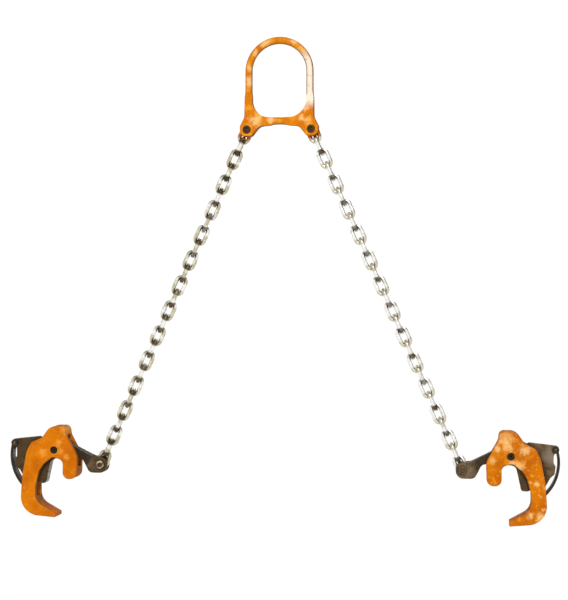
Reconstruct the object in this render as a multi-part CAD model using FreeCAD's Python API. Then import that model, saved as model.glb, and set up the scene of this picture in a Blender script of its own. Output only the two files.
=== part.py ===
import FreeCAD, Part
import math
import os

# Two-leg chain lifter for open-top drums: a forged master ring with two forked ears, two legs of
# short-link chain, and at the end of each leg a hook-shaped rim clamp with a cam lever.
# Millimetres, +Z up.  The origin is the seat of the crane hook, at the crown of the ring's opening.
# +X runs to the right-hand clamp, and -Y is the side that the heads of the pins are on.

V = FreeCAD.Vector
UP = V(0, 0, 1)
ALONG_X = V(1, 0, 0)
ALONG_Y = V(0, 1, 0)

# Farther along Y than any part reaches, for bores and cuts that go right through
THROUGH = 20.0

# Most of an edge that a rounded corner at one of its ends may take up
CORNER_SHARE = 0.49

# Two heights closer than this count as the same
SAME = 0.01

# Master ring
EYE_WIDTH = 70.5
EYE_HEIGHT = 95.0
EYE_CORNER = 22.0
BAR_DIA = 9.4
EAR_PIN_X = 42.0
EAR_PIN_Z = -111.0
EAR_HALF = 7.5
FORGED_EDGE = 2.0
EAR_TAPER = 20.0
SWING_ROOM = 0.6
HEAD_PROUD = 0.8
HEAD_SEAT_PLAY = 0.2

# Chain
WIRE_DIA = 5.2
LINK_WIDTH = 17.2
PITCH = 18.0
LINKS = 27
LINK_PLAY = 0.15
LEG_SPREAD = 195.0
TWIST_DEG = {"left": 14.0, "right": 6.0}

# Load pins at both ends of each leg
PIN_DIA = 6.4
PIN_HEAD_DIA = 10.6
PIN_HEAD = 3.0
PIN_TAIL = 5.0
PIN_HEAD_EDGE = 0.6
PIN_HOLLOW = 1.6
PIN_HOLLOW_DIA = 6.0
KEEPER_DIA = 2.0
KEEPER_LENGTH = 11.0
FORK_SLOT = 6.6

# Rim clamp, measured from its pivot: u points away from the drum's axis, v points up
PIVOT_FROM_PIN = (61.0, 19.0)
CHEEK_HALF_GAP = 8.0
CHEEK_THICK = 7.5
CHEEK_EDGE = 1.6
PIVOT_DIA = 10.0
PIVOT_RECESS = 2.6
BUSH_DIA = 13.0
RUN_PLAY = 0.05
WASHER_DIA = 22.0
WASHER_THICK = 0.7
BRIDGE_FROM_V = 19.5
BRIDGE_TO_U = 9.0
JAW_TO_U = -8.0
JAW_FROM_V = -45.0
JAW_TOP_V = -22.0
FOOT_TOP_V = -62.0
CLAMP_REACH = 100.0
PIVOT_DIMPLE = 1.6

# Cam lever
LEVER_HALF = 7.0
WEB_HALF = 4.0
BOSS_HALF = 8.5
BOSS_EDGE = 1.5
WEB_EDGE = 0.8
SLOT_FROM_U = -80.0
SLOT_TO_U = -48.5
SLOT_V = (-50.0, 10.0)
SPRING_POCKET_DIA = 19.4
SPRING_POCKET_DEPTH = 6.4
SPRING_STRIP = 0.6
SPRING_GAP = 0.25
SPRING_HALF_TURNS = 5
GRIP_THICK = 3.4
GRIP_HALF = 6.4
GRIP_EYE = (56.2, 8.2)
GRIP_EYE_DIA = 9.0
GRIP_PIN_DIA = 4.0
GRIP_PIN_EDGE = 0.5
GRIP_FORK_PLAY = 0.1
GRIP_BEND = ((60.0, 6.1), (58.8, -26.5), (43.6, -50.8))

# Outlines as (u, v, corner radius), anticlockwise or clockwise as they come
CHEEK = [
    (-15.2, 31.2, 12), (5.6, 31.2, 14), (16.0, 16.4, 8), (31.5, 9.6, 10), (37.6, -3.0, 20),
    (43.4, -34.0, 40), (46.8, -84.8, 25), (-2.4, -89.0, 2), (-2.4, -83.6, 1.6), (25.0, -68.4, 22),
    (25.0, -47.0, 12), (20.2, -28.0, 12), (14.0, -18.5, 6), (1.5, -9.0, 7), (-11.6, -14.0, 7),
    (-11.6, -38.2, 8.5), (-30.4, -38.2, 10.5), (-31.4, -8.0, 16), (-16.6, 18.8, 14),
]
LEVER_CORE = [
    (-56.0, -10.4, 1), (-47.0, -6.4, 6), (-28.0, 3.0, 12), (-12.0, 13.0, 12),
    (22.0, 13.5, 6), (34.0, 11.0, 8), (38.0, -10.0, 10), (36.0, -30.0, 10), (27.0, -42.0, 6),
    (21.0, -45.0, 4), (13.0, -44.6, 3.6), (9.5, -28.0, 10), (6.0, -12.5, 8),
    (-15.0, -11.0, 10), (-36.4, -11.2, 8), (-45.8, -30.0, 9), (-56.0, -30.0, 1),
]
LEVER_BOSS = [(-69.8, -9.6, 8.8), (-42.4, -7.8, 6), (-42.4, -30.0, 12), (-69.8, -30.0, 11.0)]
LEVER_WEB = [
    (18.0, 13.0, 1), (22.0, 17.0, 3), (60.2, 12.8, 3.9), (60.2, 4.4, 3.6), (54.0, 2.2, 3),
    (53.6, -9.0, 5), (56.2, -13.4, 3), (55.0, -23.0, 3), (49.5, -28.0, 6), (42.5, -41.0, 6),
    (30.0, -38.0, 6), (20.0, -15.0, 2),
]
EAR = [
    (35.0, -68.0, 1), (45.0, -68.0, 1), (45.4, -95.0, 12), (51.4, -106.5, 6),
    (50.9, -119.8, 8.9), (36.0, -119.8, 5), (25.5, -106.4, 12), (10.0, -105.2, 2),
    (10.0, -96.0, 1),
]

# Places worked out from the dimensions above
PIN_TO_LINK = (PITCH + LINK_PLAY) / 2 - LINK_PLAY - PIN_DIA / 2
LEG_LENGTH = (LINKS - 1) * PITCH + 2 * PIN_TO_LINK
LEG_DROP = math.sqrt(LEG_LENGTH**2 - LEG_SPREAD**2)
LEVER_PIN_X = EAR_PIN_X + LEG_SPREAD
LEVER_PIN_Z = EAR_PIN_Z - LEG_DROP
PIVOT_X = LEVER_PIN_X + PIVOT_FROM_PIN[0]
PIVOT_Z = LEVER_PIN_Z + PIVOT_FROM_PIN[1]
SIDES = {"left": -1, "right": 1}


def save(name, shape):
    """Writes one sub-part as a STEP file named after its node."""
    if not shape.isValid():
        raise RuntimeError(name + " is not a valid solid")
    shape.exportStep(os.path.join("parts", name + ".step"))


def rounded_face(corners, y):
    """A flat face at height y over the XZ plane, from (x, z, radius) corners joined by tangent arcs."""
    starts, ends, edges = [], [], []
    count = len(corners)
    for i, (x, z, radius) in enumerate(corners):
        here = V(x, y, z)
        before = V(corners[i - 1][0], y, corners[i - 1][1]) - here
        after = V(corners[(i + 1) % count][0], y, corners[(i + 1) % count][1]) - here
        half = before.getAngle(after) / 2
        reach = min(radius / math.tan(half), CORNER_SHARE * min(before.Length, after.Length))
        radius = reach * math.tan(half)
        before.normalize()
        after.normalize()
        middle = (before + after).normalize() * (radius / math.sin(half) - radius)
        starts.append(here + before * reach)
        ends.append(here + after * reach)
        edges.append(Part.Arc(starts[-1], here + middle, ends[-1]).toShape())
    loop = []
    for i, edge in enumerate(edges):
        loop.append(edge)
        loop.append(Part.makeLine(ends[i], starts[(i + 1) % count]))
    return Part.Face(Part.Wire(loop))


def slab(corners, low_y, high_y):
    """A plate with a rounded outline, between two heights along Y."""
    return rounded_face(corners, low_y).extrude(ALONG_Y * (high_y - low_y))


def block(low, high):
    """A box between two corners."""
    size = V(*high) - V(*low)
    return Part.makeBox(size.x, size.y, size.z, V(*low))


def rod(x, z, low_y, high_y, dia):
    """A round bar along Y."""
    return Part.makeCylinder(dia / 2, high_y - low_y, V(x, low_y, z), ALONG_Y)


def soften(shape, y, radius):
    """Rounds every edge that lies in the plane at y."""
    boxes = [(edge, edge.BoundBox) for edge in shape.Edges]
    flat = [edge for edge, box in boxes if abs(box.YMin - y) < SAME and abs(box.YMax - y) < SAME]
    return shape.makeFillet(radius, flat)


def at_clamp(corners):
    """Moves (u, v, radius) corners of the right-hand clamp to their place in the frame."""
    return [(PIVOT_X + u, PIVOT_Z + v, radius) for u, v, radius in corners]


def on_side(shape, side):
    """The right-hand shape itself, or its mirror image for the left."""
    return shape if side == "right" else shape.mirror(V(0, 0, 0), ALONG_X)


# ---------------------------------------------------------------- master ring

def ring_bar():
    """The round bar bent to the ring's outline: a half circle above, two rounded corners below."""
    r = BAR_DIA / 2
    half = EYE_WIDTH / 2 + r
    top = r - half
    low = -EYE_HEIGHT - r
    bend = EYE_CORNER + r
    diag = bend * math.sqrt(0.5)
    path = Part.Wire([
        Part.Arc(V(-half, 0, top), V(0, 0, r), V(half, 0, top)).toShape(),
        Part.makeLine(V(half, 0, top), V(half, 0, low + bend)),
        Part.Arc(
            V(half, 0, low + bend),
            V(half - bend + diag, 0, low + bend - diag),
            V(half - bend, 0, low),
        ).toShape(),
        Part.makeLine(V(half - bend, 0, low), V(bend - half, 0, low)),
        Part.Arc(
            V(bend - half, 0, low),
            V(bend - half - diag, 0, low + bend - diag),
            V(-half, 0, low + bend),
        ).toShape(),
        Part.makeLine(V(-half, 0, low + bend), V(-half, 0, top)),
    ])
    section = Part.Wire(Part.makeCircle(r, V(-half, 0, top), UP))
    return path.makePipeShell([section], True, False)


def eye_opening():
    """The space inside the ring."""
    half = EYE_WIDTH / 2
    corners = [
        (-half, 0, half), (half, 0, half),
        (half, -EYE_HEIGHT, EYE_CORNER), (-half, -EYE_HEIGHT, EYE_CORNER),
    ]
    return slab(corners, -THROUGH, THROUGH)


def ear_taper(start, end, step):
    """A flat face that widens from the bar's thickness at start to the ear's at end, then runs on by step."""
    thin, thick = BAR_DIA / 2, EAR_HALF
    far = end + step
    section = [
        start + ALONG_Y * thin, end + ALONG_Y * thick, far + ALONG_Y * thick,
        far - ALONG_Y * thick, end - ALONG_Y * thick, start - ALONG_Y * thin,
    ]
    return Part.Face(Part.makePolygon(section + section[:1]))


def ring_ear():
    """The right-hand ear, swelling from the bar's thickness to its own."""
    ear = slab(EAR, -EAR_HALF, EAR_HALF)
    ear = soften(ear, -EAR_HALF, FORGED_EDGE)
    ear = soften(ear, EAR_HALF, FORGED_EDGE)
    top, inner = EAR[0][1], EAR[-1][0]
    reach = 2 * EAR_TAPER + EAR_PIN_X
    down = ear_taper(V(0, 0, top), V(0, 0, top - EAR_TAPER), UP * -reach)
    out = ear_taper(V(inner, 0, 0), V(inner + EAR_TAPER, 0, 0), ALONG_X * reach)
    ear = ear.common(down.extrude(ALONG_X * reach))
    ear = ear.common(out.extrude(UP * 2 * EAR_PIN_Z))
    return ear.cut(eye_opening())


def ear_cuts():
    """The fork's slot and the pin's bore, with a seat for the pin's head."""
    reach = LINK_WIDTH / 2 + SWING_ROOM
    x, z = EAR_PIN_X - reach, EAR_PIN_Z + reach
    past = 6 * reach
    edge = FORGED_EDGE
    corners = [(x, z, reach), (x + past, z, edge), (x + past, z - past, edge), (x, z - past, edge)]
    slot = slab(corners, -FORK_SLOT / 2, FORK_SLOT / 2)
    bore = rod(EAR_PIN_X, EAR_PIN_Z, -THROUGH, THROUGH, PIN_DIA)
    seat_dia = PIN_HEAD_DIA + 2 * HEAD_SEAT_PLAY
    seat = rod(EAR_PIN_X, EAR_PIN_Z, -THROUGH, -EAR_HALF - HEAD_PROUD + PIN_HEAD, seat_dia)
    return slot.fuse([bore, seat])


def make_master_ring():
    ear, cuts = ring_ear(), ear_cuts()
    ring = ring_bar().fuse([on_side(ear, s) for s in SIDES]).removeSplitter()
    ring = ring.cut([on_side(cuts, s) for s in SIDES])
    return ring


# ---------------------------------------------------------------- load pins

def headed_pin(x, z, head_y, rear_y):
    """A hollow-headed pin along Y: the head ends at head_y, and the tail stands out past rear_y."""
    head = rod(x, z, head_y, head_y + PIN_HEAD, PIN_HEAD_DIA)
    head = soften(head, head_y, PIN_HEAD_EDGE)
    head = head.cut(rod(x, z, head_y, head_y + PIN_HOLLOW, PIN_HOLLOW_DIA))
    shank = rod(x, z, head_y + PIN_HEAD, rear_y + PIN_TAIL, PIN_DIA)
    start = V(x - PIN_DIA, rear_y + PIN_TAIL / 2, z)
    hole = Part.makeCylinder(KEEPER_DIA / 2, 2 * PIN_DIA, start, ALONG_X)
    return head.fuse(shank).removeSplitter().cut(hole)


def keeper(x, z, rear_y):
    """The roll pin through the tail of a load pin, slit along its length."""
    start = V(x - KEEPER_LENGTH / 2, rear_y + PIN_TAIL / 2, z)
    tube = Part.makeCylinder(KEEPER_DIA / 2, KEEPER_LENGTH, start, ALONG_X)
    core = Part.makeCylinder(KEEPER_DIA / 4, KEEPER_LENGTH, start, ALONG_X)
    half_slit = KEEPER_DIA / 8
    slit_end = (x + KEEPER_LENGTH / 2, start.y + half_slit, z + KEEPER_DIA)
    slit = block((start.x, start.y - half_slit, z), slit_end)
    return tube.cut([core, slit])


def make_ring_pins():
    """The two pins that carry the legs in the ring's ears, and their roll pins."""
    pin = headed_pin(EAR_PIN_X, EAR_PIN_Z, -EAR_HALF - HEAD_PROUD, EAR_HALF)
    lock = keeper(EAR_PIN_X, EAR_PIN_Z, EAR_HALF)
    for side in SIDES:
        save(side + "_ring_pin", on_side(pin, side))
    save("ring_pin_keepers", Part.makeCompound([on_side(lock, s) for s in SIDES]))


# ---------------------------------------------------------------- chain

def chain_link():
    """One link about the origin, long way along Z, lying in the XZ plane."""
    bend = (LINK_WIDTH - WIRE_DIA) / 2
    straight = (PITCH + LINK_PLAY + WIRE_DIA) / 2 - bend
    path = Part.Wire([
        Part.Arc(V(-bend, 0, straight), V(0, 0, straight + bend), V(bend, 0, straight)).toShape(),
        Part.makeLine(V(bend, 0, straight), V(bend, 0, -straight)),
        Part.Arc(V(bend, 0, -straight), V(0, 0, -straight - bend), V(-bend, 0, -straight)).toShape(),
        Part.makeLine(V(-bend, 0, -straight), V(-bend, 0, straight)),
    ])
    section = Part.Wire(Part.makeCircle(WIRE_DIA / 2, V(-bend, 0, straight), UP))
    return path.makePipeShell([section], True, False)


def placed_link(link, side, number):
    """A link of a leg, counted from the ring.  Odd links lie face on, even ones edge on."""
    tilt = math.degrees(math.asin(LEG_SPREAD / LEG_LENGTH))
    along = PIN_TO_LINK + (number - 1) * PITCH
    quarter = 90 * ((number - 1) % 2)
    twist = TWIST_DEG[side] * math.sin(math.pi * (number - 1) / (LINKS - 1))
    piece = link.copy()
    piece.rotate(V(0, 0, 0), UP, quarter + twist)
    piece.translate(V(0, 0, -along))
    piece.rotate(V(0, 0, 0), ALONG_Y, -tilt * SIDES[side])
    piece.translate(V(EAR_PIN_X * SIDES[side], 0, EAR_PIN_Z))
    return piece


def make_chain(side):
    """A leg's links in pairs, a face-on link with the edge-on link below it, and the last one alone."""
    link = chain_link()
    for first in range(1, LINKS, 2):
        pair = [placed_link(link, side, n) for n in (first, first + 1)]
        save("%s_chain_links_%02d_%02d" % (side, first, first + 1), Part.makeCompound(pair))
    save("%s_chain_link_%02d" % (side, LINKS), placed_link(link, side, LINKS))


# ---------------------------------------------------------------- clamp body

def cheek_plate(low_y, high_y, outer_y):
    """One cheek, with its outer edge rounded and the pivot's bore through it."""
    plate = soften(slab(at_clamp(CHEEK), low_y, high_y), outer_y, CHEEK_EDGE)
    return plate.cut(rod(PIVOT_X, PIVOT_Z, -THROUGH, THROUGH, PIVOT_DIA))


def between_cheeks(low, high):
    """The part of the cheek's outline between two (u, v) corners, filling the gap between the cheeks."""
    filler = slab(at_clamp(CHEEK), -CHEEK_HALF_GAP, CHEEK_HALF_GAP)
    limits = block((PIVOT_X + low[0], -THROUGH, PIVOT_Z + low[1]),
                   (PIVOT_X + high[0], THROUGH, PIVOT_Z + high[1]))
    return filler.common(limits)


def make_clamp_body(side):
    """Two cheeks, joined by a bridge above the pivot, the fixed jaw and the foot."""
    gap, outer = CHEEK_HALF_GAP, CHEEK_HALF_GAP + CHEEK_THICK
    save(side + "_front_cheek", on_side(cheek_plate(-outer, -gap, -outer), side))
    save(side + "_back_cheek", on_side(cheek_plate(gap, outer, outer), side))
    far = CLAMP_REACH
    limits = {
        "_top_bridge": ((-far, BRIDGE_FROM_V), (BRIDGE_TO_U, far)),
        "_jaw_block": ((-far, JAW_FROM_V), (JAW_TO_U, JAW_TOP_V)),
        "_foot_block": ((-far, -far), (far, FOOT_TOP_V)),
    }
    for name, (low, high) in limits.items():
        save(side + name, on_side(between_cheeks(low, high), side))


def make_pivot(side):
    """The pivot pin, pressed in the cheeks, the bush in the lever and the washers beside it."""
    gap, outer = CHEEK_HALF_GAP, CHEEK_HALF_GAP + CHEEK_THICK
    end = outer - PIVOT_RECESS
    pin = rod(PIVOT_X, PIVOT_Z, -end, end, PIVOT_DIA)
    for face, way in ((-end, 1), (end, -1)):
        centre = V(PIVOT_X, face, PIVOT_Z)
        pin = pin.cut(Part.makeCone(PIVOT_DIMPLE, 0, PIVOT_DIMPLE, centre, ALONG_Y * way))
    save(side + "_pivot_pin", on_side(pin, side))
    hole = rod(PIVOT_X, PIVOT_Z, -THROUGH, THROUGH, PIVOT_DIA + 2 * RUN_PLAY)
    bush = rod(PIVOT_X, PIVOT_Z, -LEVER_HALF, LEVER_HALF, BUSH_DIA).cut(hole)
    save(side + "_pivot_bush", on_side(bush, side))
    front = rod(PIVOT_X, PIVOT_Z, -gap, -gap + WASHER_THICK, WASHER_DIA).cut(hole)
    rear = rod(PIVOT_X, PIVOT_Z, gap - WASHER_THICK, gap, WASHER_DIA).cut(hole)
    save(side + "_pivot_washers", on_side(Part.makeCompound([front, rear]), side))


# ---------------------------------------------------------------- cam lever

def lever_blank():
    """The forged lever: a thick core with the toe, a thinner outer web and the forked boss."""
    core = slab(at_clamp(LEVER_CORE), -LEVER_HALF, LEVER_HALF)
    web = slab(at_clamp(LEVER_WEB), -WEB_HALF, WEB_HALF)
    boss = slab(at_clamp(LEVER_BOSS), -BOSS_HALF, BOSS_HALF)
    for y in (-BOSS_HALF, BOSS_HALF):
        boss = soften(boss, y, BOSS_EDGE)
    for y in (-WEB_HALF, WEB_HALF):
        web = soften(web, y, WEB_EDGE)
    return core.fuse([web, boss]).removeSplitter()


def make_cam_lever(side):
    bore = rod(PIVOT_X, PIVOT_Z, -THROUGH, THROUGH, BUSH_DIA)
    pocket = rod(PIVOT_X, PIVOT_Z, LEVER_HALF - SPRING_POCKET_DEPTH, THROUGH, SPRING_POCKET_DIA)
    pin_bore = rod(LEVER_PIN_X, LEVER_PIN_Z, -THROUGH, THROUGH, PIN_DIA)
    slot = block((PIVOT_X + SLOT_FROM_U, -FORK_SLOT / 2, PIVOT_Z + SLOT_V[0]),
                 (PIVOT_X + SLOT_TO_U, FORK_SLOT / 2, PIVOT_Z + SLOT_V[1]))
    eye = rod(PIVOT_X + GRIP_EYE[0], PIVOT_Z + GRIP_EYE[1], -THROUGH, THROUGH, GRIP_PIN_DIA)
    lever = lever_blank().cut([bore, pocket, pin_bore, slot, eye])
    save(side + "_cam_lever", on_side(lever, side))


def half_turns(radius, y):
    """A flat spiral of half circles, each larger than the last by half the pitch of the turns."""
    step = (SPRING_STRIP + SPRING_GAP) / 2
    arcs = []
    for i in range(SPRING_HALF_TURNS):
        centre, way = (PIVOT_X + step, -1) if i % 2 else (PIVOT_X, 1)
        reach = way * (radius + i * step)
        points = [(centre + reach, PIVOT_Z), (centre, PIVOT_Z + reach), (centre - reach, PIVOT_Z)]
        arcs.append(Part.Arc(*[V(x, y, z) for x, z in points]).toShape())
    return arcs


def make_closing_spring(side):
    """The flat spiral spring round the bush, in the lever's pocket, flush with the lever's rear face."""
    y = LEVER_HALF - SPRING_POCKET_DEPTH
    inner_radius = BUSH_DIA / 2 + SPRING_GAP
    inner = half_turns(inner_radius, y)
    outer = half_turns(inner_radius + SPRING_STRIP, y)
    start = Part.makeLine(inner[0].Vertexes[0].Point, outer[0].Vertexes[0].Point)
    end = Part.makeLine(inner[-1].Vertexes[1].Point, outer[-1].Vertexes[1].Point)
    outline = Part.Wire(Part.__sortEdges__(inner + outer + [start, end]))
    strip = Part.Face(outline).extrude(ALONG_Y * SPRING_POCKET_DEPTH)
    save(side + "_closing_spring", on_side(strip, side))


def grip_strip():
    """The strip bent to an arc, from the eye down past the lever's outer end."""
    rim = [V(PIVOT_X + u, -GRIP_HALF, PIVOT_Z + v) for u, v in GRIP_BEND]
    outer = Part.Arc(*rim).toShape()
    hub = outer.Curve.Center
    inner = [p + (hub - p).normalize() * GRIP_THICK for p in rim]
    loop = Part.Wire([
        outer,
        Part.makeLine(rim[2], inner[2]),
        Part.Arc(inner[2], inner[1], inner[0]).toShape(),
        Part.makeLine(inner[0], rim[0]),
    ])
    return Part.Face(loop).extrude(ALONG_Y * (2 * GRIP_HALF))


def make_lever_grip(side):
    """The strip with its rolled eye, forked over the lever's web, and the pin through the eye."""
    x, z = PIVOT_X + GRIP_EYE[0], PIVOT_Z + GRIP_EYE[1]
    roll = rod(x, z, -GRIP_HALF, GRIP_HALF, GRIP_EYE_DIA)
    strip = grip_strip().fuse(roll).removeSplitter()
    half_fork = WEB_HALF + GRIP_FORK_PLAY
    fork = block((x - THROUGH, -half_fork, z - GRIP_EYE_DIA), (x + THROUGH, half_fork, z + THROUGH))
    strip = strip.cut([fork, rod(x, z, -THROUGH, THROUGH, GRIP_PIN_DIA)])
    save(side + "_lever_grip", on_side(strip, side))
    end = GRIP_HALF + HEAD_PROUD
    pin = rod(x, z, -end, end, GRIP_PIN_DIA)
    for y in (-end, end):
        pin = soften(pin, y, GRIP_PIN_EDGE)
    save(side + "_grip_pin", on_side(pin, side))


def make_chain_pin(side):
    """The headed pin that the last link hangs in the lever's fork, and its roll pin."""
    pin = headed_pin(LEVER_PIN_X, LEVER_PIN_Z, -BOSS_HALF - PIN_HEAD, BOSS_HALF)
    save(side + "_chain_pin", on_side(pin, side))
    lock = keeper(LEVER_PIN_X, LEVER_PIN_Z, BOSS_HALF)
    save(side + "_chain_pin_keeper", on_side(lock, side))


def main():
    os.makedirs("parts", exist_ok=True)
    save("master_ring", make_master_ring())
    make_ring_pins()
    for side in SIDES:
        make_chain(side)
        make_clamp_body(side)
        make_pivot(side)
        make_cam_lever(side)
        make_closing_spring(side)
        make_lever_grip(side)
        make_chain_pin(side)
    print("leg", round(LEG_LENGTH, 2), "lever pin", LEVER_PIN_X, round(LEVER_PIN_Z, 2),
          "pivot", PIVOT_X, round(PIVOT_Z, 2))


main()
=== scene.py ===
import math
import random

import bmesh
import bpy
from mathutils import Matrix, Vector


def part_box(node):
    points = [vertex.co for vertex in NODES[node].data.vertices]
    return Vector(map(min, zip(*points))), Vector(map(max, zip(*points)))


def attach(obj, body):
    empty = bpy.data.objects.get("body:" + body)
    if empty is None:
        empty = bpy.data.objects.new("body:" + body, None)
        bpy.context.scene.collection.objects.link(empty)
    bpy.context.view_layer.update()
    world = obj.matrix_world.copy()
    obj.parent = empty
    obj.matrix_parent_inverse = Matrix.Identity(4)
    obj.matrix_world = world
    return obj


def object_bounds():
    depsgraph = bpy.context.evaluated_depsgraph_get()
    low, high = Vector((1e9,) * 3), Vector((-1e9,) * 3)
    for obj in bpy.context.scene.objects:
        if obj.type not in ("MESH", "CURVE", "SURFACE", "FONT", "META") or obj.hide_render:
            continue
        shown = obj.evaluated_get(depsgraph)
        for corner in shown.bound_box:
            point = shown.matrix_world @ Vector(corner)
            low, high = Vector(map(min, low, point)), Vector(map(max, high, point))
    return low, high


# Chain drum lifter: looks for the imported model, hanging by its master ring over a pale floor.
# Metres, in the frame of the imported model: +Z up, +X to the right-hand clamp, -Y to the front.

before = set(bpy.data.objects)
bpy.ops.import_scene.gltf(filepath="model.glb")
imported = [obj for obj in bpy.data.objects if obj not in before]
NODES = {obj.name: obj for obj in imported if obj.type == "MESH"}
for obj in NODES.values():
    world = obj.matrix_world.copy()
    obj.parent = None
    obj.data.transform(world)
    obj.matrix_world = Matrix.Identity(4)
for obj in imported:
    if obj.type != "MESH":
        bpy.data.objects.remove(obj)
cad_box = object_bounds()
SIDES = {"left": -1, "right": 1}

# Camera: in front of the right-hand clamp and a little above the drum's rim
CAMERA_PLACE = Vector((0.2864, -2.0407, -0.3136))
CAMERA_AZIMUTH = 7.825
CAMERA_ELEVATION = 0.516
CAMERA_LENS = 95.13
SENSOR = 36.0
CLIP = (0.01, 500)

# Studio: a sky that is white near the horizon and dimmer overhead, and soft distant lights, each with
# its azimuth (0 is the front) and elevation in degrees, its strength, and its spread in degrees
FLOOR_DROP = 0.55
FLOOR_SIZE = 400.0
FLOOR_COLOUR = (0.93, 0.93, 0.92)
SKY_LOW, SKY_HIGH = 1.05, 0.25
SKY_FADE = (0.20, 0.40)
SUNS = {"key": (10, 40, 2.6, 16), "fill": (-60, 25, 0.3, 30), "rim": (165, 50, 0.9, 25)}

# Master ring: its opening, its round bar's radius, and where the bar grows out of an ear
EYE_WIDTH = 0.0705
EYE_HEIGHT = 0.095
BAR = 0.0047
RING_LEG_X = EYE_WIDTH / 2 + BAR
EAR_TOP = -0.069
EAR_INNER = 0.012
EAR_STEP_TOP = 0.00035
EAR_STEP_INNER = 0.0009

# The forged fillet at each end of an ear, from the ear's square section to the bar's round one
FILLET_LENGTH = 0.009
FILLET_SINK = 0.0005
FILLET_RINGS = 14
FILLET_SIDES = 48
FILLET_SQUARE = 30
FILLET_PROUD = 0.00005
FILLET_DIP = -0.00012

# Chain
PITCH = 0.018
LINKS = 27
WIRE = 0.0052
LINK_WIDTH = 0.0172
TWIST = {"left": 14, "right": 6}

# The weld on one side of each link: a swelling round the wire
WELD_HALF = 0.0017
WELD_PROUD = 0.0003
WELD_SINK = 0.0001
WELD_RINGS = 7
WELD_SIDES = 20
WELD_ROUGH = (-0.25, 0.1)
WELD_SEED = 7

# Colours of the paints and metals, as linear light
ORANGE = (0.52, 0.142, 0.001)
DEEP_ORANGE = (0.40, 0.090, 0.001)
SHADED_FLANK = (0.34, 0.082, 0.002)
AMBER = (0.62, 0.24, 0.012)
CREAM = (0.74, 0.45, 0.17)
PALE_ORANGE = (0.78, 0.33, 0.030)
RING_ORANGE = (0.56, 0.165, 0.003)
RING_DEEP = (0.50, 0.130, 0.001)
RING_SHADED_FLANK = (0.22, 0.070, 0.004)
CHALK = (0.74, 0.62, 0.49)
PAINT_TINT = (1.0, 0.45, 0.08)
OIL_TINT = (1.0, 0.82, 0.6)
RUST = (0.10, 0.035, 0.010)
GRIME = (0.030, 0.022, 0.012)
ZINC = (0.80, 0.79, 0.75)
ZINC_YELLOW = (0.48, 0.43, 0.28)
FORGING = (0.062, 0.036, 0.014)
FORGING_PALE = (0.135, 0.088, 0.046)
FORGING_DARK = (0.020, 0.015, 0.009)
HANDLED_AND_SHEEN = (0.24, 0.19, 0.14)
STRIP = (0.022, 0.018, 0.013)
STEEL = (0.36, 0.33, 0.28)
SPRING = (0.33, 0.33, 0.34)
BRONZE = (0.48, 0.30, 0.13)

# Where paint is pale, worn and with painted highlights, in mm: across, up and the radius, from a clamp's
# pivot or the hook's seat
RUBBED_AND_HIGHLIT = {
    "left": ((-14, 26, 5), (-7, 10, 4), (-9, -3, 4), (-6, -14, 3), (-17, -9, 4), (14, -4, 5)),
    "right": ((-7, 21, 8), (-17, 9, 4), (-22, -4, 4), (-4, 12, 6), (17, 8, 6), (10, -13, 6),
              (1, -9, 4), (32, -35, 3), (23, -75, 4), (38, -77, 6)),
    "ring": ((-17, 1, 6), (-31, -12, 4), (19, 3, 4), (31, -11, 7), (-39, -32, 4), (-38, -49, 6),
             (-31, -98, 7), (-24, -94, 3), (-11, -99, 4), (34, -84, 4), (30, -96, 4), (38, -100, 4)),
}
SPOT_SOFT = 2.5

# Distances in the plane of the front only, and places on a clamp and its lever: the mouth, whose flanks are
# darkened as painted shade, the lever's neck, which is darker, its toe, worn to bare steel, its web, which
# has a painted sheen, and its boss, which is paler.  Each place has how far across and up it is from a
# clamp's pivot, its radius and its soft edge.
IN_PLANE = (1, 0, 1)
MOUTH = (0.004, -0.042, 0.030, 0.010)
LEVER_NECK = (-0.034, -0.006, 0.008, 0.009)
LEVER_TOE = (0.010, -0.030, 0.014, 0.006)
LEVER_WEB_SHEEN = (0.052, 0.000, 0.004, 0.014)
LEVER_BOSS = (-0.052, -0.0195, 0.002, 0.009)

# The ring's right-hand leg is worn to primer: the height of the worn stretch's middle, half its length
# and its soft ends
WORN_Z = -0.047
WORN_HALF = 0.026
WORN_SOFT = 0.014

# Orange on the first link, over this stretch down from its pin
FIRST_LINK_ORANGE = (0.011, 0.015)

# The head of the left chain pin: its hollow's radius and edge, and the place of its painted highlight from
# its middle
HOLLOW = (0.0026, 0.0010)
HIGHLIGHT_PLACE = Vector((-0.001, 0, 0.0042))
HIGHLIGHT_SOFT = (0.0010, 0.0045)


# ---------------------------------------------------------------- scene

def link(obj):
    bpy.context.scene.collection.objects.link(obj)
    return obj


def toward(azimuth, elevation):
    """The direction from the object to a camera or a light at these angles in degrees."""
    a, e = math.radians(azimuth), math.radians(elevation)
    return Vector((math.sin(a) * math.cos(e), -math.cos(a) * math.cos(e), math.sin(e)))


def make_camera():
    data = bpy.data.cameras.new("camera")
    data.lens = CAMERA_LENS
    data.sensor_width = SENSOR
    data.clip_start, data.clip_end = CLIP
    camera = link(bpy.data.objects.new("camera", data))
    turn = toward(CAMERA_AZIMUTH, CAMERA_ELEVATION).to_track_quat("Z", "Y").to_matrix().to_4x4()
    camera.matrix_world = Matrix.Translation(CAMERA_PLACE) @ turn
    bpy.context.scene.camera = camera


def make_floor():
    """A pale floor well below the clamps' feet, because the lifter hangs."""
    z = cad_box[0].z - FLOOR_DROP
    half = FLOOR_SIZE / 2
    mesh = bpy.data.meshes.new("floor")
    corners = [(-half, -half, z), (half, -half, z), (half, half, z), (-half, half, z)]
    mesh.from_pydata(corners, [], [(0, 1, 2, 3)])
    floor = link(bpy.data.objects.new("floor", mesh))
    surface = Surface("floor")
    surface.set(roughness=0.8, colour=FLOOR_COLOUR)
    mesh.materials.append(surface.material)


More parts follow.
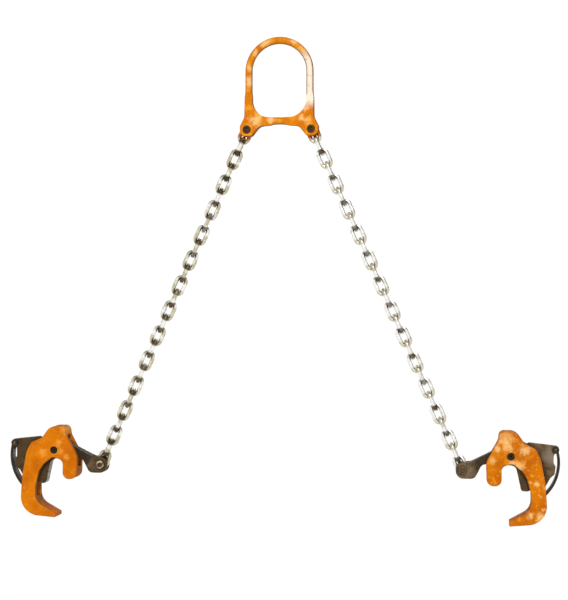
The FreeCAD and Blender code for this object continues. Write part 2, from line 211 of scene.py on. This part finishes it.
def sun(name, azimuth, elevation, strength, spread):
    """A distant soft light, which shines from its azimuth and elevation."""
    data = bpy.data.lights.new(name, "SUN")
    data.energy = strength
    data.angle = math.radians(spread)
    light = link(bpy.data.objects.new(name, data))
    light.rotation_mode = "QUATERNION"
    light.rotation_quaternion = toward(azimuth, elevation).to_track_quat("Z", "Y")


def make_light():
    world = bpy.data.worlds.new("studio")
    bpy.context.scene.world = world
    world.use_nodes = True
    tree = world.node_tree
    height = add(tree, "ShaderNodeSeparateXYZ", add(tree, "ShaderNodeTexCoord").outputs["Generated"])
    fade = add(tree, "ShaderNodeMapRange", height.outputs["Z"], *SKY_FADE, SKY_LOW, SKY_HIGH)
    tree.links.new(fade.outputs[0], tree.nodes["Background"].inputs["Strength"])
    tree.nodes["Background"].inputs["Color"].default_value = (1, 1, 1, 1)
    for name, values in SUNS.items():
        sun(name, *values)


# ---------------------------------------------------------------- material nodes

def add(tree, kind, *inputs, **settings):
    """A new node.  The inputs are given in the node's order: a socket is linked, None is skipped."""
    node = tree.nodes.new(kind)
    for name, value in settings.items():
        setattr(node, name, value)
    for socket, value in zip(node.inputs, inputs):
        if isinstance(value, bpy.types.NodeSocket):
            tree.links.new(value, socket)
        elif value is not None:
            socket.default_value = value
    return node


class Surface:
    """A material, and short ways to add what its look is made of."""

    def __init__(self, name):
        self.material = bpy.data.materials.new(name)
        self.material.use_nodes = True
        self.tree = self.material.node_tree
        self.shader = self.tree.nodes["Principled BSDF"]
        coordinates = add(self.tree, "ShaderNodeTexCoord")
        self.place = coordinates.outputs["Object"]
        self.normal = coordinates.outputs["Normal"]

    def set(self, colour=None, roughness=None, **sockets):
        """Sets or links the shader's sockets."""
        names = {"metallic": "Metallic", "specular": "Specular IOR Level", "normal": "Normal",
                 "coat": "Coat Weight", "coat_roughness": "Coat Roughness", "tint": "Specular Tint"}
        values = {names[k]: v for k, v in sockets.items()}
        values.update({"Base Color": colour, "Roughness": roughness})
        for name, value in values.items():
            socket = self.shader.inputs[name]
            if isinstance(value, bpy.types.NodeSocket):
                self.tree.links.new(value, socket)
            elif isinstance(value, tuple):
                socket.default_value = (*value, 1)
            elif value is not None:
                socket.default_value = value

    def math(self, operation, *values):
        return add(self.tree, "ShaderNodeMath", *values, operation=operation).outputs[0]

    def vector(self, operation, *values):
        return add(self.tree, "ShaderNodeVectorMath", *values, operation=operation)

    def ramp(self, value, low, high, start=0.0, end=1.0):
        """A smooth change from start to end as the value goes from low to high."""
        kind = {"interpolation_type": "SMOOTHSTEP"}
        return add(self.tree, "ShaderNodeMapRange", value, low, high, start, end, **kind).outputs[0]

    def blend(self, factor, first, second):
        """The first colour where the factor is 0, and the second where it is 1."""
        node = add(self.tree, "ShaderNodeMix", factor, data_type="RGBA")
        for socket, colour in ((node.inputs[6], first), (node.inputs[7], second)):
            if isinstance(colour, tuple):
                socket.default_value = (*colour, 1)
            else:
                self.tree.links.new(colour, socket)
        return node.outputs[2]

    def noise(self, size, detail=3.0, rough=0.5, stretch=(1, 1, 1), shift=0.0):
        """Noise from 0 to 1 whose grains are about size across, in metres."""
        scale = tuple(1 / (size * s) for s in stretch)
        spread = self.vector("MULTIPLY_ADD", self.place, scale, (shift, shift, shift)).outputs[0]
        node = add(self.tree, "ShaderNodeTexNoise", spread)
        node.inputs["Scale"].default_value = 1
        node.inputs["Detail"].default_value = detail
        node.inputs["Roughness"].default_value = rough
        return node.outputs[0]

    def flat(self, low, high):
        """1 on faces that look to the front or the back, 0 on flanks."""
        parts = add(self.tree, "ShaderNodeSeparateXYZ", self.normal)
        return self.ramp(self.math("ABSOLUTE", parts.outputs["Y"]), low, high)

    def near(self, point, radius, soft, axes=(1, 1, 1)):
        """1 within a radius of a point and 0 past the soft edge.  An axis of 0 is left out."""
        away = self.vector("SUBTRACT", self.place, tuple(point)).outputs[0]
        away = self.vector("MULTIPLY", away, axes).outputs[0]
        length = self.vector("LENGTH", away).outputs["Value"]
        return self.ramp(length, radius, radius + soft, 1.0, 0.0)

    def patches(self, origin, spots, side=1):
        """Soft ragged patches at spots given in mm from an origin, 1 where they are strongest: worn paint
        and painted highlights.
        """
        field = 0.0
        for across, up, radius in spots:
            spot = origin + Vector((side * across, 0, up)) / 1000
            reach = SPOT_SOFT * radius / 1000
            field = self.math("MAXIMUM", field, self.near(spot, 0, reach, IN_PLANE))
        fine = self.math("MULTIPLY", self.noise(0.0038, 5, 0.7, shift=1.7), 1.5)
        broad = self.math("MULTIPLY", self.noise(0.009, 2, shift=6.6), 1.1)
        return self.ramp(self.math("ADD", field, self.math("ADD", fine, broad)), 1.58, 2.45)

    def edges(self, width):
        """1 on outer and inner edges, 0 on flat faces."""
        rounded = add(self.tree, "ShaderNodeBevel", width, samples=4).outputs[0]
        normal = add(self.tree, "ShaderNodeNewGeometry").outputs["Normal"]
        same = self.vector("DOT_PRODUCT", rounded, normal).outputs["Value"]
        return self.ramp(same, 0.80, 0.995, 1.0, 0.0)

    def hollow_shade_and_dirt(self, reach):
        """1 deep in a hollow, 0 in the open: where the colour is darkened as painted shade and dirt."""
        node = add(self.tree, "ShaderNodeAmbientOcclusion", samples=8)
        node.inputs["Distance"].default_value = reach
        return self.ramp(node.outputs["AO"], 0.35, 0.85, 1.0, 0.0)

    def bumps(self, *layers):
        """The normal for layers of (height, strength, depth in metres), each on top of the last."""
        normal = None
        for height, strength, depth in layers:
            node = add(self.tree, "ShaderNodeBump")
            node.inputs["Strength"].default_value = strength
            node.inputs["Distance"].default_value = depth
            self.tree.links.new(height, node.inputs["Height"])
            if normal:
                self.tree.links.new(normal, node.inputs["Normal"])
            normal = node.outputs[0]
        return normal

    def times(self, *values):
        """The product of some masks."""
        top = values[0]
        for value in values[1:]:
            top = self.math("MULTIPLY", top, value)
        return top


# ---------------------------------------------------------------- places

def centre(node):
    low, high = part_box(node)
    return (Vector(low) + Vector(high)) / 2


def near_clamp(surface, side, place):
    """1 at a place on a clamp or its lever, 0 past the place's soft edge."""
    u, v, radius, soft = place
    middle = centre(side + "_pivot_pin") + Vector((SIDES[side] * u, 0, v))
    return surface.near(middle, radius, soft, IN_PLANE)


def leg_line(side):
    """The place and direction of a leg: the middle of its top pin, and the way down to its bottom pin."""
    top, foot = centre(side + "_ring_pin"), centre(side + "_chain_pin")
    top.y = foot.y = 0
    return top, foot - top


def link_margin(leg):
    """How far the middle of a leg's first link is from the pin that it hangs on."""
    return (leg.length - (LINKS - 1) * PITCH) / 2


# ---------------------------------------------------------------- pieces

def skin(faces, first, rings, sides):
    """Faces between the rings of points that start at a number, and a cap on each end."""
    for i in range(rings - 1):
        for j in range(sides):
            a, b = first + i * sides, first + (i + 1) * sides
            k = (j + 1) % sides
            faces.append((a + j, a + k, b + k, b + j))
    last = first + (rings - 1) * sides
    faces.append(tuple(reversed(range(first, first + sides))))
    faces.append(tuple(range(last, last + sides)))


def make_piece(name, verts, faces, material, body):
    """A smooth piece whose faces look outward, riding on a body."""
    mesh = bpy.data.meshes.new(name)
    mesh.from_pydata(verts, [], faces)
    shell = bmesh.new()
    shell.from_mesh(mesh)
    bmesh.ops.recalc_face_normals(shell, faces=shell.faces)
    shell.to_mesh(mesh)
    shell.free()
    mesh.shade_smooth()
    mesh.materials.append(material)
    piece = link(bpy.data.objects.new(name, mesh))
    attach(piece, body)


# ---------------------------------------------------------------- welds

def weld_ring(middle, down, across, radius, rng):
    """One ring of the swelling's surface, slightly uneven."""
    other = down.cross(across)
    ring = []
    for i in range(WELD_SIDES):
        turn = 2 * math.pi * i / WELD_SIDES
        reach = radius + WELD_PROUD * rng.uniform(*WELD_ROUGH)
        ring.append(middle + (across * math.cos(turn) + other * math.sin(turn)) * reach)
    return ring


def add_weld(verts, faces, middle, down, across, rng):
    """A swelling round the wire, closed at both ends inside it."""
    first = len(verts)
    for i in range(WELD_RINGS):
        t = 2 * i / (WELD_RINGS - 1) - 1
        radius = WIRE / 2 - WELD_SINK + (WELD_PROUD + WELD_SINK) * (1 - t**4)
        verts += weld_ring(middle + down * (t * WELD_HALF), down, across, radius, rng)
    skin(faces, first, WELD_RINGS, WELD_SIDES)


def make_welds(chains):
    """The weld of every link, in a piece for each moving pair of links, with its side's material."""
    rng = random.Random(WELD_SEED)
    for side in SIDES:
        top, leg = leg_line(side)
        down = leg.normalized()
        plane = Vector((-down.z, 0, down.x))
        for body in range(1, LINKS // 2 + 2):
            verts, faces = [], []
            for number in range(2 * body - 1, min(2 * body, LINKS) + 1):
                twist = TWIST[side] * math.sin(math.pi * (number - 1) / (LINKS - 1))
                turn = math.radians(90 * ((number - 1) % 2) + twist)
                wide = plane * math.cos(turn) + Vector((0, math.sin(turn), 0))
                middle = top + down * (link_margin(leg) + (number - 1) * PITCH)
                middle += wide * rng.choice((-1, 1)) * (LINK_WIDTH - WIRE) / 2
                add_weld(verts, faces, middle, down, wide, rng)
            name = "%s_chain_weld_%02d" % (side, body)
            make_piece(name, verts, faces, chains[side], "%s_chain_%02d" % (side, body))


# ---------------------------------------------------------------- fillets

def fillet_ring(middle, out, step, squareness):
    """One ring of a fillet: a square with sides of the bar's thickness, and step more on the outer side,
    rounded into a circle as the squareness goes from 1 to 0.  The last ring dips under the bar."""
    power = 2 + (FILLET_SQUARE - 2) * squareness**2
    proud = FILLET_PROUD if squareness > 0 else FILLET_DIP
    ring = []
    for i in range(FILLET_SIDES):
        turn = 2 * math.pi * i / FILLET_SIDES
        c, s = math.cos(turn), math.sin(turn)
        wide = BAR + (step * squareness if c > 0 else 0)
        reach = (abs(c / wide) ** power + abs(s / BAR) ** power) ** (-1 / power) + proud
        ring.append(middle + (out * c + Vector((0, 1, 0)) * s) * reach)
    return ring


def add_fillet(verts, faces, start, way, out, step):
    """A fillet from an ear's end, along the bar's middle line.  One more ring starts it inside the ear."""
    first = len(verts)
    verts += fillet_ring(start - way * FILLET_SINK, out, 0, 1)
    for i in range(FILLET_RINGS):
        t = i / (FILLET_RINGS - 1)
        verts += fillet_ring(start + way * (t * FILLET_LENGTH), out, step, (1 - t) ** 2)
    skin(faces, first, FILLET_RINGS + 1, FILLET_SIDES)


def make_fillets(material):
    """The two fillets of each ear, one up the ring's leg and one along its lower bar."""
    for side, way in SIDES.items():
        verts, faces = [], []
        outward, up = Vector((way, 0, 0)), Vector((0, 0, 1))
        leg = Vector((way * RING_LEG_X, 0, EAR_TOP))
        add_fillet(verts, faces, leg, up, outward, EAR_STEP_TOP)
        lower = Vector((way * EAR_INNER, 0, -EYE_HEIGHT - BAR))
        add_fillet(verts, faces, lower, -outward, -up, EAR_STEP_INNER)
        make_piece(side + "_ear_fillets", verts, faces, material, "ring")


# ---------------------------------------------------------------- materials

def ring_paint():
    """Deep orange enamel on a forging, darker on its flanks as painted shade and with painted highlights on
    its faces, worn to a pale undercoat down the right-hand leg of the ring.
    """
    s = Surface("ring_paint")
    highlit_middle = s.flat(0.45, 0.93)
    colour = s.blend(s.ramp(s.noise(0.016, 3), 0.35, 0.65), RING_DEEP, RING_ORANGE)
    # Flanks darker: painted shade.
    colour = s.blend(s.flat(0.80, 0.25), colour, RING_SHADED_FLANK)
    # The middle of the bar's faces is lighter: amber patches there are a painted highlight.
    amber = s.ramp(s.noise(0.010, 2, shift=3.1), 0.50, 0.70)
    colour = s.blend(s.times(amber, highlit_middle), colour, AMBER)
    # Pale patches: worn paint, and painted highlights where light catches the ring.
    worn_and_highlit = s.patches(Vector((0, 0, 0)), RUBBED_AND_HIGHLIT["ring"])
    colour = s.blend(s.times(worn_and_highlit, s.flat(0.3, 0.9), 0.85), colour, CREAM)
    worn = s.near((RING_LEG_X, 0, WORN_Z), WORN_HALF, WORN_SOFT, (0.5, 0.5, 1))
    flank = s.blend(s.ramp(s.noise(0.003, 3), 0.4, 0.6), RUST, DEEP_ORANGE)
    colour = s.blend(worn, colour, flank)
    ragged = s.ramp(s.noise(0.004, 4, 0.6, shift=7.7), 0.26, 0.44)
    colour = s.blend(s.times(worn, ragged, s.flat(0.50, 0.85)), colour, CHALK)
    chips = s.ramp(s.noise(0.0022, 3, 0.6), 0.68, 0.72)
    colour = s.blend(chips, colour, RUST)
    rim = s.times(s.edges(0.0012), s.ramp(s.noise(0.004, 3, shift=5.0), 0.46, 0.62))
    colour = s.blend(s.times(rim, 0.7), colour, CREAM)
    # Darker in the hollows: painted shade and dirt.
    colour = s.blend(s.hollow_shade_and_dirt(0.006), colour, RUST)
    flank_rough = s.times(s.flat(0.80, 0.25), 0.3)
    rough = s.math("ADD", s.ramp(s.noise(0.003, 4), 0.3, 0.7, 0.34, 0.58), flank_rough)
    normal = s.bumps((s.noise(0.0025, 3), 0.35, 0.0008), (chips, 0.4, -0.0001),
                     (s.noise(0.012, 2), 0.3, 0.001))
    s.set(colour, rough, specular=0.35, tint=PAINT_TINT, normal=normal)
    return s.material


def clamp_paint(side, cast):
    """Orange enamel on a casting, darker on its flanks and in its mouth as painted shade, with painted
    glints and highlights.  cast is how rough the casting is, from 0 to 1, and also how strong its glints,
    highlights and worn places are.
    """
    s = Surface(side + "_clamp_paint")
    broad = s.noise(0.022, 3, shift=2.0 if side == "left" else 9.0)
    colour = s.blend(s.ramp(broad, 0.32, 0.72), DEEP_ORANGE, ORANGE)
    flank = s.flat(0.9, 0.2)
    # Flanks darker: painted shade.
    colour = s.blend(flank, colour, SHADED_FLANK)
    # Flanks inside the jaw's mouth darker: painted shade.
    mouth = near_clamp(s, side, MOUTH)
    colour = s.blend(s.times(flank, mouth, 0.7), colour, RUST)
    light = s.ramp(s.noise(0.008, 3, shift=4.0), 0.52, 0.72)
    colour = s.blend(s.times(light, 0.25 + 0.6 * cast), colour, AMBER)
    # Cream spots: painted glints, stronger on the rougher casting.
    spots = s.ramp(s.noise(0.0055, 3, 0.6, shift=6.0), 0.60, 0.72)
    colour = s.blend(s.times(spots, 0.12 + 0.5 * cast), colour, CREAM)
    # Pale patches: worn paint, and painted highlights where light catches the clamp.
    worn_and_highlit = s.patches(centre(side + "_pivot_pin"), RUBBED_AND_HIGHLIT[side], SIDES[side])
    primer_and_highlight = s.blend(cast, PALE_ORANGE, CREAM)
    colour = s.blend(s.times(worn_and_highlit, 0.40 + 0.35 * cast), colour, primer_and_highlight)
    # Edges paler: worn, with a painted highlight along them, cream on faces and amber on flanks.
    rim = s.times(s.edges(0.0015), s.ramp(s.noise(0.005, 3, shift=8.0), 0.48, 0.6), 0.4 + 0.6 * cast)
    colour = s.blend(rim, colour, s.blend(flank, CREAM, AMBER))
    chips = s.ramp(s.noise(0.0018, 3, 0.6, shift=5.5), 0.70, 0.74)
    colour = s.blend(chips, colour, RUST)
    # Darker in the hollows: painted shade and dirt.
    colour = s.blend(s.hollow_shade_and_dirt(0.008), colour, RUST)
    rough = s.math("ADD", s.ramp(s.noise(0.003, 4), 0.3, 0.7, 0.34, 0.58), s.times(flank, 0.3))
    normal = s.bumps((s.noise(0.0060, 2, shift=3.3), 0.3 + 0.4 * cast, 0.0006 + 0.0020 * cast),
                     (s.noise(0.0022, 3), 0.3 + 0.4 * cast, 0.0004 + 0.0006 * cast),
                     (s.noise(0.0008, 2), 0.3, 0.0003))
    s.set(colour, rough, specular=0.30, tint=PAINT_TINT, normal=normal)
    return s.material


def zinc_chain(side, dull, lower):
    """Bright zinc with a yellow tint, dark with grease and painted shade where the links bear on each
    other.
    dull is how far the tint, the grease and the shade have spread, and lower is how much grease and shade
    the lower ends of the links that lie flat to the front hold, both from 0 to 1."""
    s = Surface(side + "_zinc_chain")
    top, leg = leg_line(side)
    down = leg.normalized()
    across = Vector((down.z, 0, -down.x))
    from_top = s.vector("SUBTRACT", s.place, tuple(top)).outputs[0]
    along = s.vector("DOT_PRODUCT", from_top, tuple(down)).outputs["Value"]
    off = s.vector("DOT_PRODUCT", from_top, tuple(across)).outputs["Value"]
    turns = s.math("DIVIDE", s.math("SUBTRACT", along, link_margin(leg)), PITCH)
    gap = s.math("ABSOLUTE", s.math("SUBTRACT", s.math("FRACT", turns), 0.5))
    upper_end = s.ramp(s.math("FRACT", s.math("DIVIDE", turns, 2)), 0.49, 0.51)
    aside = s.math("ABSOLUTE", off)
    uneven = s.ramp(s.noise(0.020, 2, shift=8.0), 0.3, 0.6, 0.7, 1.0)
    lengthwise = s.ramp(gap, 0.13, 0.22 + 0.05 * dull, 1.0, 0.0)
    crosswise = s.ramp(aside, 0.0032, 0.0046 + 0.0016 * dull, 1.0, 0.0)
    bearing_grease_and_shade = s.times(lengthwise, crosswise, uneven, s.math("MAXIMUM", upper_end, lower))
    yellowed = s.times(s.ramp(gap, 0.16, 0.34, 1.0, 0.0), s.math("SUBTRACT", 1.0, upper_end))
    patchy = s.ramp(s.noise(0.010, 3, shift=2.2), 0.62 - 0.22 * dull, 0.72 - 0.14 * dull)
    colour = s.blend(s.times(patchy, 0.5 + 0.45 * dull), ZINC, ZINC_YELLOW)
    colour = s.blend(s.times(yellowed, 0.7 - 0.3 * dull), colour, ZINC_YELLOW)
    # Darker in the hollows: painted shade and dirt.
    colour = s.blend(s.times(s.hollow_shade_and_dirt(0.003 + 0.003 * dull), 0.6 + 0.3 * dull), colour, FORGING)
    grease = s.blend(s.ramp(s.noise(0.003, 3, shift=5.0), 0.35, 0.65), GRIME, FORGING_PALE)
    # Dark where the links bear on each other: grease and painted shade.
    colour = s.blend(bearing_grease_and_shade, colour, grease)
    # Orange on the first link, near its pin.
    first_link_orange = s.times(s.ramp(along, *FIRST_LINK_ORANGE, 1.0, 0.0), s.ramp(s.noise(0.003, 3), 0.3, 0.5))
    colour = s.blend(first_link_orange, colour, DEEP_ORANGE)
    rough = s.math("ADD", s.ramp(s.noise(0.0025, 4), 0.3, 0.7, 0.22, 0.42), s.times(bearing_grease_and_shade, 0.3))
    normal = s.bumps((s.noise(0.0016, 3), 0.35, 0.0003))
    s.set(colour, rough, metallic=0.85, normal=normal)
    return s.material


def dark_forging(side, pale):
    """A phosphated forging: dark brown, paler where it is handled and with a painted sheen on its web.
    pale is how far, from 0 to 1.
    """
    s = Surface(side + "_dark_forging")
    broad = s.noise(0.014, 4, 0.6)
    colour = s.blend(s.ramp(broad, 0.50 - 0.2 * pale, 0.85 - 0.2 * pale), FORGING, FORGING_PALE)
    colour = s.blend(s.ramp(s.noise(0.004, 4, 0.6, shift=4.4), 0.5, 0.7), colour, FORGING_DARK)
    colour = s.blend(s.times(near_clamp(s, side, LEVER_NECK), 0.85), colour, FORGING_DARK)
    # A paler patch on the lever's outer web: painted sheen.
    colour = s.blend(s.times(near_clamp(s, side, LEVER_WEB_SHEEN), 0.8 * pale), colour, HANDLED_AND_SHEEN)
    colour = s.blend(s.times(near_clamp(s, side, LEVER_BOSS), 0.1 + 0.25 * pale), colour, HANDLED_AND_SHEEN)
    rim = s.times(s.edges(0.0010), s.ramp(s.noise(0.003, 3, shift=1.1), 0.45, 0.6))
    toe = near_clamp(s, side, LEVER_TOE)
    bare = s.times(toe, s.flat(0.9, 0.3), s.ramp(s.noise(0.004, 3, shift=2.6), 0.3, 0.5))
    colour = s.blend(s.math("MAXIMUM", rim, bare), colour, STEEL)
    # Darker in the hollows: painted shade and dirt.
    colour = s.blend(s.hollow_shade_and_dirt(0.010), colour, FORGING_DARK)
    rough = s.ramp(s.noise(0.003, 4), 0.3, 0.7, 0.38, 0.66)
    normal = s.bumps((s.noise(0.0018, 4), 0.5, 0.0006), (s.noise(0.008, 2), 0.4, 0.0008))
    s.set(colour, rough, metallic=0.1, specular=0.14, tint=OIL_TINT, normal=normal)
    return s.material


def plain_metal(name, colour, dark, rough, size=0.004):
    """Oiled steel or bronze with darker stains and fine scratches."""
    s = Surface(name)
    stain = s.ramp(s.noise(size, 4, 0.6), 0.42, 0.66)
    tone = s.blend(stain, colour, dark)
    rim = s.times(s.edges(0.0006), s.ramp(s.noise(size / 2, 3, shift=3.0), 0.4, 0.6))
    tone = s.blend(rim, tone, tuple(min(1.0, 1.5 * c) for c in colour))
    # Darker in the hollows: painted shade and dirt.
    tone = s.blend(s.hollow_shade_and_dirt(0.004), tone, GRIME)
    scratches = s.noise(0.0012, 3, 0.6, stretch=(6, 1, 1))
    s.set(tone, s.ramp(s.noise(size / 2, 3), 0.3, 0.7, rough, rough + 0.22), metallic=0.8,
          normal=s.bumps((scratches, 0.25, 0.0002)))
    return s.material


def headed_pin(name, node):
    """A pin whose head has a painted highlight above its middle, and whose hollow holds old grease."""
    s = Surface(name)
    stain = s.ramp(s.noise(0.003, 4, 0.6), 0.42, 0.66)
    tone = s.blend(stain, FORGING_PALE, STEEL)
    # A painted highlight above the head's middle.
    highlit_head = s.near(centre(node) + HIGHLIGHT_PLACE, *HIGHLIGHT_SOFT, IN_PLANE)
    tone = s.blend(highlit_head, tone, ZINC_YELLOW)
    tone = s.blend(s.near(centre(node), *HOLLOW, IN_PLANE), tone, RUST)
    # Darker in the hollows: painted shade and dirt.
    tone = s.blend(s.hollow_shade_and_dirt(0.004), tone, GRIME)
    scratches = s.noise(0.0010, 3, 0.6, stretch=(1, 6, 1))
    s.set(tone, s.ramp(s.noise(0.002, 3), 0.3, 0.7, 0.25, 0.45), metallic=0.7,
          normal=s.bumps((scratches, 0.25, 0.0002)))
    return s.material


def make_materials():
    """Gives every node of the model its material, and adds the pieces that share one with a node."""
    chains = {"left": zinc_chain("left", 1.0, 1.0), "right": zinc_chain("right", 0.3, 0.2)}
    levers = {"left": dark_forging("left", 0.0), "right": dark_forging("right", 0.8)}
    clamps = {"left": clamp_paint("left", 0.15), "right": clamp_paint("right", 1.0)}
    strip = plain_metal("dark_strip", STRIP, FORGING, 0.34, 0.006)
    steel = plain_metal("pin_steel", STEEL, FORGING, 0.30)
    greasy = plain_metal("greasy_pin", FORGING_PALE, GRIME, 0.40)
    stained = plain_metal("stained_pin", RUST, GRIME, 0.45)
    # The pivot pin is coloured near black: painted shade of the recess it sits in.
    shaded_pivot = plain_metal("pivot_pin", GRIME, FORGING_DARK, 0.40)
    highlit_head = headed_pin("highlit_pin", "left_chain_pin")
    kinds = (
        ("keeper", steel), ("lever_grip", strip), ("grip_pin", greasy), ("right_chain_pin", greasy),
        ("ring_pin", stained), ("pivot_pin", shaded_pivot), ("left_chain_pin", highlit_head),
        ("closing_spring", plain_metal("spring_steel", SPRING, FORGING, 0.28)),
        ("pivot_bush", plain_metal("bronze", BRONZE, RUST, 0.35)),
    )
    ring = ring_paint()
    for name, node in NODES.items():
        side = name.split("_")[0]
        material = next((m for key, m in kinds if key in name), steel)
        if name == "master_ring":
            material = ring
        if name.endswith(("cheek", "bridge", "_block")):
            material = clamps[side]
        if name.endswith("cam_lever"):
            material = levers[side]
        if "chain_link" in name:
            material = chains[side]
        for slot in node.material_slots:
            slot.material = material
    make_welds(chains)
    make_fillets(ring)


# The factory setting dulls a strong orange and a white, so colours are shown as they are
bpy.context.scene.view_settings.view_transform = "Standard"
make_camera()
make_floor()
make_light()
make_materials()
